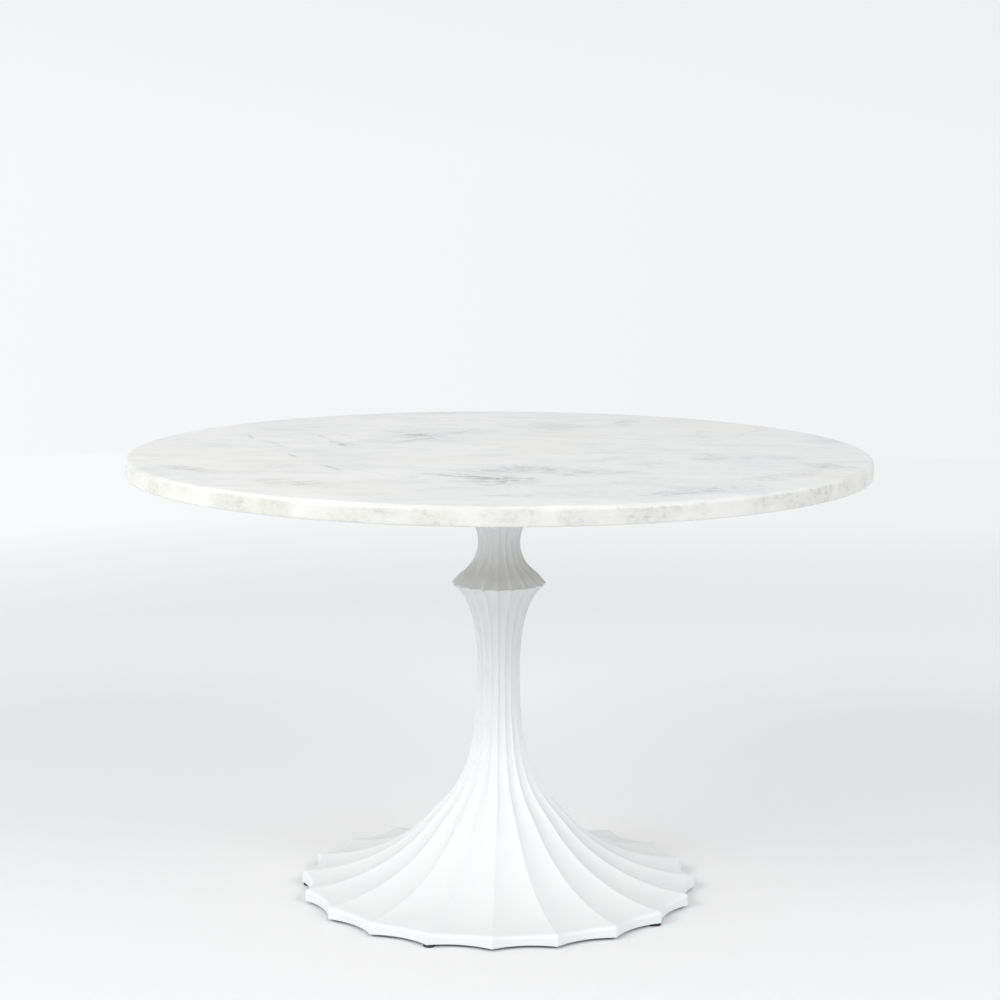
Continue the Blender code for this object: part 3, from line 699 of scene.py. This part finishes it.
def fluted(name, outline, material, drops=None):
    """A closed outline turned about the Z axis and fluted. Drops says for each of its points what
    share of the skirt's sinking its flutes get."""
    drops = drops or [0.0] * len(outline)
    vertices = []
    for (radius, height), drop_share in zip(outline, drops):
        rounding = min(RIDGE_ROUNDING / radius, FLUTE_ANGLE / 5)
        flank_angle = FLUTE_ANGLE / 2 - rounding
        flank = [rounding + flank_angle * k / FLANK_STEPS for k in range(FLANK_STEPS + 1)]
        half = [0.0, rounding / 2] + flank
        offsets = half + [FLUTE_ANGLE - offset for offset in half[-2:0:-1]]
        depth = min(max((radius - ROUND_WITHIN) / (FLUTED_BEYOND - ROUND_WITHIN), 0), 1)
        valley = valley_ratio(radius)
        for flute in range(FLUTES):
            for offset in offsets:
                nearest = min(offset, FLUTE_ANGLE - offset)
                hollow = depth * (1 - rounded_share(nearest, rounding, valley))
                fall = FLUTE_DROP * max(radius - STEM_RADIUS, 0) * drop_share * hollow / (1 - valley)
                angle = flute * FLUTE_ANGLE + offset
                r = radius * (1 - hollow)
                vertices.append((r * math.sin(angle), -r * math.cos(angle), height - fall))
    sides = FLUTES * len(offsets)
    return new_piece(name, vertices, loop_faces(len(outline), sides, True), material, sharp_degrees=32)


def join(target, *others):
    """Moves the others' faces into the target's mesh."""
    shape = bmesh.new()
    shape.from_mesh(target.data)
    for other in others:
        shape.from_mesh(other.data)
        mesh = other.data
        bpy.data.objects.remove(other)
        bpy.data.meshes.remove(mesh)
    shape.to_mesh(target.data)
    shape.free()


def at_circle(radius, angle):
    """x and y at an angle from -Y towards +X."""
    return (radius * math.sin(angle), -radius * math.cos(angle))


def node_box(node):
    """The lowest and the highest corner of a CAD node's box."""
    low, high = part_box(node)
    return Vector(low), Vector(high)


def middle(node):
    """x and y of the middle of a CAD node's box."""
    low, high = node_box(node)
    return ((low.x + high.x) / 2, (low.y + high.y) / 2)


def stands_for(piece, body, slot, *nodes):
    """Puts a piece on its body, in the place of the CAD nodes that it replaces."""
    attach(piece, body)
    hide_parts(*nodes)


# ---------------------------------------------------------------- the pieces


def build_slab(stone):
    """The marble top, with an eased upper edge and a smaller one below."""
    low, high = node_box("marble_top")
    upper = SLAB_UPPER_EASE
    lower = SLAB_LOWER_EASE
    outline = [
        *line((SLAB_FLAT_RADIUS, high.z), (high.x - upper, high.z), 3),
        *arc((high.x - upper, high.z - upper), upper, 90, 0, 9),
        *line((high.x, high.z - upper - RING_STEP), (high.x, low.z + lower), 3),
        *arc((high.x - lower, low.z + lower), lower, 0, -90, 7),
        (SLAB_FLAT_RADIUS, low.z),
    ]
    slab = turned("slab", outline, 288, stone)
    stands_for(slab, "table", "marble", "marble_top")


def build_board(wood):
    """The plywood disc, bevelled below, with a pocket round the tie rod's nut."""
    low, high = node_box("backing_board")
    bevel = BOARD_BEVEL
    pocket = BOARD_POCKET_RADIUS
    ease = BOARD_EASE
    outline = [
        (pocket, high.z),
        *arc((high.x - ease, high.z - ease), ease, 90, 0, 4),
        *arc((high.x - ease, low.z + bevel + ease), ease, 0, -45, 3),
        *arc((high.x - bevel, low.z + ease), ease, -45, -90, 3),
        (pocket + ease, low.z),
        (pocket, low.z + ease),
    ]
    board = turned("board", outline, 192, wood, closed=True, sharp_degrees=30)
    stands_for(board, "table", "plywood", "backing_board")


def build_plate(coat):
    """The steel disc on top of the neck, with rounded edges and a hole for the tie rod."""
    low, high = node_box("mounting_plate")
    ease = PLATE_EASE
    outline = [
        (ROD_HOLE_RADIUS, high.z),
        *arc((high.x - ease, high.z - ease), ease, 90, 0, 5),
        *arc((high.x - ease, low.z + ease), ease, 0, -90, 5),
        (ROD_HOLE_RADIUS + ease / 2, low.z),
        (ROD_HOLE_RADIUS, low.z + ease / 2),
    ]
    plate = turned("plate", outline, 160, coat, closed=True, sharp_degrees=30)
    stands_for(plate, "table", "black_steel", "mounting_plate")


def build_neck(coat):
    """The hollow upper casting, from the flare under the plate down to its spigot in the base."""
    low, high = node_box("neck_casting")
    flare, lower = neck_ridge(high.z, 26, 34, 14)
    web_underside = high.z - TOP_WEB
    cavity = [p for p in inside_of(flare, WALL) if p[1] < web_underside]
    outline = [
        (ROD_HOLE_RADIUS, high.z),
        *line((TOP_RING_RADIUS, high.z), (FLARE_RADIUS - FLARE_EDGE, high.z), 4),
        *arc((FLARE_RADIUS - FLARE_EDGE, high.z - FLARE_EDGE), FLARE_EDGE, 90, 0, 4),
        *flare,
        *lower,
        (KNOP_RADIUS - GAP, SEAM_Z),
        (SPIGOT_RADIUS, SEAM_Z),
        (SPIGOT_RADIUS, low.z),
        (CORE_RADIUS, low.z),
        (CORE_RADIUS, NECK_WAIST_Z - WALL),
        *reversed(cavity),
        (cavity[0][0], web_underside),
        (ROD_HOLE_RADIUS, web_underside),
    ]
    neck = fluted("neck", outline, coat)
    stands_for(neck, "table", "white_coating", "neck_casting")


def base_outside(rim, low_z, high_z):
    """The base's outline from the knop's edge to the rim's rounding, and the rim's face."""
    knop_edge = arc((KNOP_RADIUS - KNOP_EDGE, high_z - KNOP_EDGE_DROP), KNOP_EDGE, 24, -45, 6)
    skirt = stem_and_skirt(rim, 40, 44)
    rim_edge = arc((rim - RIM_EDGE, RIM_TOP - RIM_EDGE), RIM_EDGE, 90, 0, 6)
    face_top = RIM_TOP - RIM_EDGE - RING_STEP
    face_end = low_z + RIM_LOWER_EDGE
    rim_face = [
        *line((rim, face_top), (rim, face_end), 4),
        *arc((rim - RIM_LOWER_EDGE, face_end), RIM_LOWER_EDGE, 0, -90, 4),
    ]
    return [*knop_edge, *knop_underside(34)[1:], *skirt[1:], *rim_edge[1:]], rim_face


def base_inside(rim, low_z, high_z):
    """The base's outline inside, from the rim up to the knop, and what share of the sinking
    each of its points gets."""
    skirt = inside_of(stem_and_skirt(rim, 40, 44), WALL)
    bell = [point for point in skirt if point[1] < LEDGE_Z and point[0] < rim - WALL]
    socket_floor = SEAM_Z - SPIGOT_DEPTH - GAP
    above_bell = [
        (bell[0][0], LEDGE_Z),
        (CORE_RADIUS, LEDGE_Z),
        (CORE_RADIUS, socket_floor),
        (SPIGOT_RADIUS + GAP, socket_floor),
        (SPIGOT_RADIUS + GAP, high_z),
        (KNOP_RADIUS - 2 * GAP, high_z),
    ]
    behind_rim = [(rim - WALL, low_z), (rim - WALL, RIM_TOP - WALL - RING_STEP)]
    drops = [0.0, 0.7] + [1.0] * len(bell) + [0.0] * len(above_bell)
    return [*behind_rim, *reversed(bell), *above_bell], drops


def build_bosses(coat, low_z):
    """The bosses below the rim that the glides screw into."""
    outline = [
        (BOSS_RADIUS, BOSS_TOP),
        (BOSS_RADIUS, low_z + BOSS_EDGE),
        (BOSS_RADIUS - BOSS_EDGE, low_z),
        (STUD_RADIUS + GAP, low_z),
        (STUD_RADIUS + GAP, BOSS_TOP),
    ]
    places = [at_circle(GLIDE_CIRCLE_RADIUS, angle) for _, angle in GLIDES]
    return [turned("boss", outline, 40, coat, place, closed=True) for place in places]


def build_base(coat):
    """The hollow lower casting: the knop's lower half, the stem, the bell-shaped foot, its bosses."""
    low, high = node_box("base_casting")
    rim = high.x
    outside, rim_face = base_outside(rim, low.z, high.z)
    inside, inside_drops = base_inside(rim, low.z, high.z)
    face_height = RIM_TOP - RIM_EDGE - low.z
    drops = [1.0 if point[1] < STEM_WAIST_Z else 0.0 for point in outside]
    drops += [max((point[1] - low.z) / face_height, 0) for point in rim_face]
    base = fluted("base", outside + rim_face + inside, coat, drops + inside_drops)
    join(base, *build_bosses(coat, low.z))
    stands_for(base, "table", "white_coating", "base_casting")


def washer_outline(inner, outer, low, high, ease):
    """A ring's outline from low to high, eased at its outer edges."""
    return [
        (inner, high),
        *arc((outer - ease, high - ease), ease, 90, 0, 4),
        *arc((outer - ease, low + ease), ease, 0, -90, 4),
        (inner, low),
    ]


def build_washers(steel):
    """The washers and the clamp plate, with eased edges."""
    sizes = (
        ("upper_washer", ROD_RADIUS + 2 * GAP, WASHER_EASE),
        ("lower_washer", ROD_RADIUS + 2 * GAP, WASHER_EASE),
        ("clamp_plate", ROD_HOLE_RADIUS, CLAMP_PLATE_EASE),
    )
    for node, hole, ease in sizes:
        low, high = node_box(node)
        outline = washer_outline(hole, high.x, low.z, high.z, ease)
        piece = turned(node + "_eased", outline, 72, steel, closed=True)
        stands_for(piece, "table", "zinc_steel", node)


def hexagon_reach(angle, corner):
    """How far a hexagon's side is from its middle at an angle from a corner."""
    from_corner = angle % (math.pi / 3)
    return corner * FLAT_SHARE / math.cos(from_corner - math.pi / 6)


def nut_outline(reach, flat, low_z, high_z):
    """A nut's outline where its side is so far from the axis, from the bore's top to its bottom."""
    bore = ROD_RADIUS + GAP
    chamfer = (reach - flat) * NUT_CHAMFER_SLOPE + NUT_CHAMFER_DROP
    chamfer_start = flat - NUT_FACE_INSET
    return (
        (bore, high_z - NUT_EASE),
        (bore + NUT_EASE, high_z),
        (chamfer_start, high_z),
        (reach, high_z - chamfer),
        (reach, low_z + chamfer),
        (chamfer_start, low_z),
        (bore + NUT_EASE, low_z),
        (bore, low_z + NUT_EASE),
    )


def build_nuts(steel):
    """Hexagon nuts, with their corners chamfered by a cone at both ends."""
    sides = 72
    angles = [2 * math.pi * side / sides for side in range(sides)]
    for node in ("upper_nut", "lower_nut"):
        low, high = node_box(node)
        corner = max(high.x, high.y)
        flat = corner * FLAT_SHARE
        outlines = [nut_outline(hexagon_reach(angle, corner), flat, low.z, high.z) for angle in angles]
        rings = len(outlines[0])
        vertices = []
        for ring in range(rings):
            for angle, outline in zip(angles, outlines):
                r, z = outline[ring]
                vertices.append((r * math.cos(angle), r * math.sin(angle), z))
        faces = loop_faces(rings, sides, True)
        piece = new_piece(node + "_chamfered", vertices, faces, steel, sharp_degrees=25)
        stands_for(piece, "table", "zinc_steel", node)


def thread_down(top, radius, groove, pitch, turns):
    """The zigzag outline of a thread, from its top down."""
    outline = []
    for turn in range(turns):
        z = top - turn * pitch
        outline.append((radius - groove, z))
        outline.append((radius, z - pitch / 2))
    return outline


def build_tie_rod(steel):
    """The rod, plain in the middle and threaded over 40 mm at each end."""
    low, high = node_box("tie_rod")
    turns = int(ROD_THREADED / ROD_PITCH)
    upper = thread_down(high.z - ROD_CHAMFER, ROD_RADIUS, ROD_GROOVE, ROD_PITCH, turns)
    mirrored = [(r, low.z + high.z - z) for r, z in reversed(upper)]
    end_radius = ROD_RADIUS - ROD_TIP_INSET
    plain_radius = ROD_RADIUS - ROD_PLAIN_INSET
    plain_from_end = ROD_THREADED + ROD_RUN_OUT
    outline = [
        (end_radius, high.z),
        *upper,
        (plain_radius, high.z - plain_from_end),
        (plain_radius, low.z + plain_from_end),
        *mirrored,
        (end_radius, low.z),
    ]
    piece = turned("threaded_tie_rod", outline, 40, steel, sharp_degrees=80)
    stands_for(piece, "table", "zinc_steel", "tie_rod")


def cut_socket(screw, centre, depth):
    """Makes a hexagon socket in a screw's lowest face."""
    mesh = bmesh.new()
    mesh.from_mesh(screw.data)
    mesh.faces.ensure_lookup_table()
    cap = min(mesh.faces, key=lambda face: face.calc_center_median().z)
    bmesh.ops.inset_region(mesh, faces=[cap], thickness=0.00005)
    for vertex in cap.verts:
        angle = math.atan2(vertex.co.y - centre[1], vertex.co.x - centre[0])
        reach = hexagon_reach(angle, SCREW_SOCKET_CORNER)
        vertex.co.x = centre[0] + reach * math.cos(angle)
        vertex.co.y = centre[1] + reach * math.sin(angle)
    socket = bmesh.ops.extrude_discrete_faces(mesh, faces=[cap])["faces"][0]
    bmesh.ops.translate(mesh, verts=socket.verts, vec=(0, 0, depth))
    mesh.to_mesh(screw.data)
    mesh.free()
    screw.data.set_sharp_from_angle(angle=math.radians(30))


def build_plate_screws(steel):
    """Button-head screws with a hexagon socket."""
    for number in SCREWS:
        node = f"plate_screw_{number}"
        low, high = node_box(node)
        head_radius = (high.x - low.x) / 2
        head_top = low.z + SCREW_HEAD_HEIGHT
        dome = SCREW_HEAD_DOME
        outline = [
            (SCREW_RADIUS - SCREW_TIP, high.z),
            (SCREW_RADIUS, high.z - SCREW_TIP),
            (SCREW_RADIUS, head_top),
            (head_radius - SCREW_HEAD_EDGE, head_top),
            *arc((head_radius - dome, low.z + dome), dome, 0, -90, 7),
            (SCREW_SOCKET_CORNER * SCREW_SOCKET_ROOM, low.z),
        ]
        centre = middle(node)
        screw = turned(node + "_turned", outline, 48, steel, centre, sharp_degrees=30)
        cut_socket(screw, centre, SCREW_SOCKET_DEPTH)
        stands_for(screw, "table", "zinc_steel", node)


def build_pad(number, plastic):
    """A pad with rounded edges, and a socket for the stud's head."""
    node = f"glide_pad_{number}"
    low, high = node_box(node)
    radius = (high.x - low.x) / 2
    lip = STUD_RADIUS + GAP
    pocket = STUD_HEAD_RADIUS + GAP
    lip_underside = high.z - PAD_LIP_HEIGHT
    outline = [
        (lip, high.z),
        *arc((radius - PAD_EDGE, high.z - PAD_EDGE), PAD_EDGE, 90, 0, 6),
        *arc((radius - PAD_EDGE, PAD_EDGE), PAD_EDGE, 0, -90, 6),
        (radius - PAD_SOLE_INSET, 0.0),
        (PAD_DIMPLE_RADIUS, 0.0),
        (PAD_DIMPLE_RADIUS, PAD_POCKET_FLOOR),
        (pocket, PAD_POCKET_FLOOR),
        (pocket, lip_underside),
        (lip, lip_underside),
    ]
    pad = turned(f"pad_{number}_moulded", outline, 64, plastic, middle(node), closed=True)
    stands_for(pad, f"pad_{number}", "nylon", node)


def build_stud(number, steel):
    """A threaded stud, with the round head that its pad turns on."""
    node = f"glide_stud_{number}"
    low, high = node_box(node)
    head = (high.x - low.x) / 2
    turns = int((high.z - STUD_HEAD_TOP - 0.001) / STUD_PITCH)
    outline = [
        (STUD_RADIUS - 2 * STUD_GROOVE, high.z),
        *thread_down(high.z - STUD_TIP, STUD_RADIUS, STUD_GROOVE, STUD_PITCH, turns),
        (STUD_RADIUS - STUD_GROOVE, STUD_HEAD_TOP),
        *arc((head - STUD_HEAD_EASE, STUD_HEAD_TOP - STUD_HEAD_EASE), STUD_HEAD_EASE, 90, 0, 4),
        (head, low.z + STUD_HEAD_LOWER_EASE),
        (head - STUD_HEAD_LOWER_EASE, low.z),
    ]
    stud = turned(f"stud_{number}_threaded", outline, 36, steel, middle(node), sharp_degrees=80)
    stands_for(stud, f"stud_{number}", "zinc_steel", node)


def build_glides(plastic, steel):
    """The levelling glides, each one a pad and a stud that move on bodies of their own."""
    for number, _ in GLIDES:
        build_pad(number, plastic)
        build_stud(number, steel)


def refinish_nodes(steel, turned_brass):
    """The CAD's own dowels and inserts stay, with finished materials."""
    for name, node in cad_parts.items():
        if name.startswith(("seam_dowel", "plate_dowel")):
            node.material_slots[0].material = steel
        if name.startswith("board_insert"):
            node.material_slots[0].material = turned_brass


# ---------------------------------------------------------------- floor, light and camera

FLOOR_COLOUR = (0.812, 0.817, 0.825)
SURROUND_COLOUR = (0.905, 0.912, 0.920)
SKY_COLOUR = (0.685, 0.69, 0.705)
SKY_HEIGHT = 0.45  # the sine of the elevation at which the surround reaches the sky's colour
NEAR_ASIDE = 0.10
FAR_ASIDE = 0.24
FLOOR_FADE_START = 2.6
FLOOR_FADE_END = 4.2
FLOOR_RADIUS = 6.0

CAMERA_DISTANCE = 3.8297
CAMERA_HEIGHT = 1.2292
CAMERA_PITCH = math.radians(9.408)
CAMERA_AZIMUTH = math.radians(1.6)
CAMERA_ROLL = math.radians(0.2)
CAMERA_LENS = 84.34
CAMERA_SHIFT = (0.0009, 0.0414)

SOFTBOX_DISTANCE = 9.0
SOFTBOX_AIM_Z = 0.60
SOFTBOX_SIZE = (4.6, 3.0)
SOFTBOX_RAISED = math.radians(29.5)
FRONT_ASIDE = math.radians(45)  # the front softboxes' angle from -Y,
SIDE_ASIDE = math.radians(97)  # and the side ones'
WARM_LIGHT = (1.0, 0.995, 0.985)
COOL_LIGHT = (0.985, 0.99, 1.0)


def build_floor():
    """A round floor so wide that its edge is past the fade into the surround."""
    floor = turned("floor", [(FLOOR_RADIUS, 0.0), (FLOOR_RADIUS, -0.02)], 96, pale_floor())


def soft_light(name, azimuth, watts, colour):
    """A softbox facing a point of the Z axis, at a compass angle from -Y towards +X."""
    target = Vector((0, 0, SOFTBOX_AIM_Z))
    across = SOFTBOX_DISTANCE * math.cos(SOFTBOX_RAISED)
    place = target + Vector((*at_circle(across, azimuth), SOFTBOX_DISTANCE * math.sin(SOFTBOX_RAISED)))
    lamp = bpy.data.lights.new(name, "AREA")
    lamp.shape = "RECTANGLE"
    lamp.size, lamp.size_y = SOFTBOX_SIZE
    lamp.energy = watts
    lamp.color = colour
    light = bpy.data.objects.new(name, lamp)
    light.location = place
    light.rotation_euler = (target - place).to_track_quat("-Z", "Y").to_euler()
    light.visible_camera = False
    bpy.context.scene.collection.objects.link(light)


def build_lights():
    """Two softboxes in front that shape the pedestal, and two weak ones beside it."""
    soft_light("left_softbox", -FRONT_ASIDE, 330, WARM_LIGHT)
    soft_light("right_softbox", FRONT_ASIDE, 278, COOL_LIGHT)
    soft_light("left_side_softbox", -SIDE_ASIDE, 52, WARM_LIGHT)
    soft_light("right_side_softbox", SIDE_ASIDE, 68, COOL_LIGHT)


def build_world():
    """A plain surround: palest at the horizon, dimmer overhead and a little dimmer to the right."""
    world = bpy.data.worlds.new("surround")
    world.use_nodes = True
    tree = world.node_tree
    direction = tree.nodes.new("ShaderNodeTexCoord").outputs["Generated"]
    split = tree.nodes.new("ShaderNodeSeparateXYZ")
    share = tree.nodes.new("ShaderNodeMapRange")
    share.inputs["From Min"].default_value = 0.0
    share.inputs["From Max"].default_value = SKY_HEIGHT
    blend = tree.nodes.new("ShaderNodeMix")
    blend.data_type = "RGBA"
    blend.inputs[6].default_value = (*SURROUND_COLOUR, 1)
    blend.inputs[7].default_value = (*SKY_COLOUR, 1)
    background = tree.nodes["Background"]
    tree.links.new(direction, split.inputs[0])
    tree.links.new(split.outputs["Z"], share.inputs["Value"])
    tree.links.new(share.outputs[0], blend.inputs[0])
    tree.links.new(blend.outputs[2], background.inputs["Color"])
    tree.links.new(strength_aside(tree, split.outputs["X"]), background.inputs["Strength"])
    bpy.context.scene.world = world


def build_camera():
    """A camera a little to the right of -Y, turned, pitched down and rolled by its angles."""
    lens = bpy.data.cameras.new("camera")
    lens.sensor_width = 36
    lens.lens = CAMERA_LENS
    lens.shift_x, lens.shift_y = CAMERA_SHIFT
    camera = bpy.data.objects.new("camera", lens)
    camera.location = (
        CAMERA_DISTANCE * math.sin(CAMERA_AZIMUTH),
        -CAMERA_DISTANCE * math.cos(CAMERA_AZIMUTH),
        CAMERA_HEIGHT,
    )
    turns = ((CAMERA_AZIMUTH, "Z"), (math.pi / 2 - CAMERA_PITCH, "X"), (CAMERA_ROLL, "Z"))
    facing = Matrix.Identity(3)
    for angle, axis in turns:
        facing = facing @ Matrix.Rotation(angle, 3, axis)
    camera.rotation_euler = facing.to_euler()
    bpy.context.scene.collection.objects.link(camera)
    bpy.context.scene.camera = camera


# ---------------------------------------------------------------- the whole scene

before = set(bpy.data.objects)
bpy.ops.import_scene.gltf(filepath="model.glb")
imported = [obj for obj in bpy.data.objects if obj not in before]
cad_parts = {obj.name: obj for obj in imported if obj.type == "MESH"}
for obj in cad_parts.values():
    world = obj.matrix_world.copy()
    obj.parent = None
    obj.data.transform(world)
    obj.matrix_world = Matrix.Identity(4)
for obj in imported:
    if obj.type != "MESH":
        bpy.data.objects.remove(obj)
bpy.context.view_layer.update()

stone = marble()
coat = white_coating()
steel = plated("zinc_plate", (0.62, 0.63, 0.65), (0.50, 0.51, 0.53), 0.34)
turned_brass = plated("turned_brass", (0.72, 0.56, 0.27), (0.62, 0.47, 0.22), 0.28)

build_slab(stone)
build_board(plywood())
build_plate(black_coating())
build_neck(coat)
build_base(coat)
build_washers(steel)
build_nuts(steel)
build_tie_rod(steel)
build_plate_screws(steel)
build_glides(nylon(), steel)
refinish_nodes(steel, turned_brass)

build_floor()
build_lights()
build_world()
build_camera()

bpy.context.scene.view_settings.view_transform = "Standard"
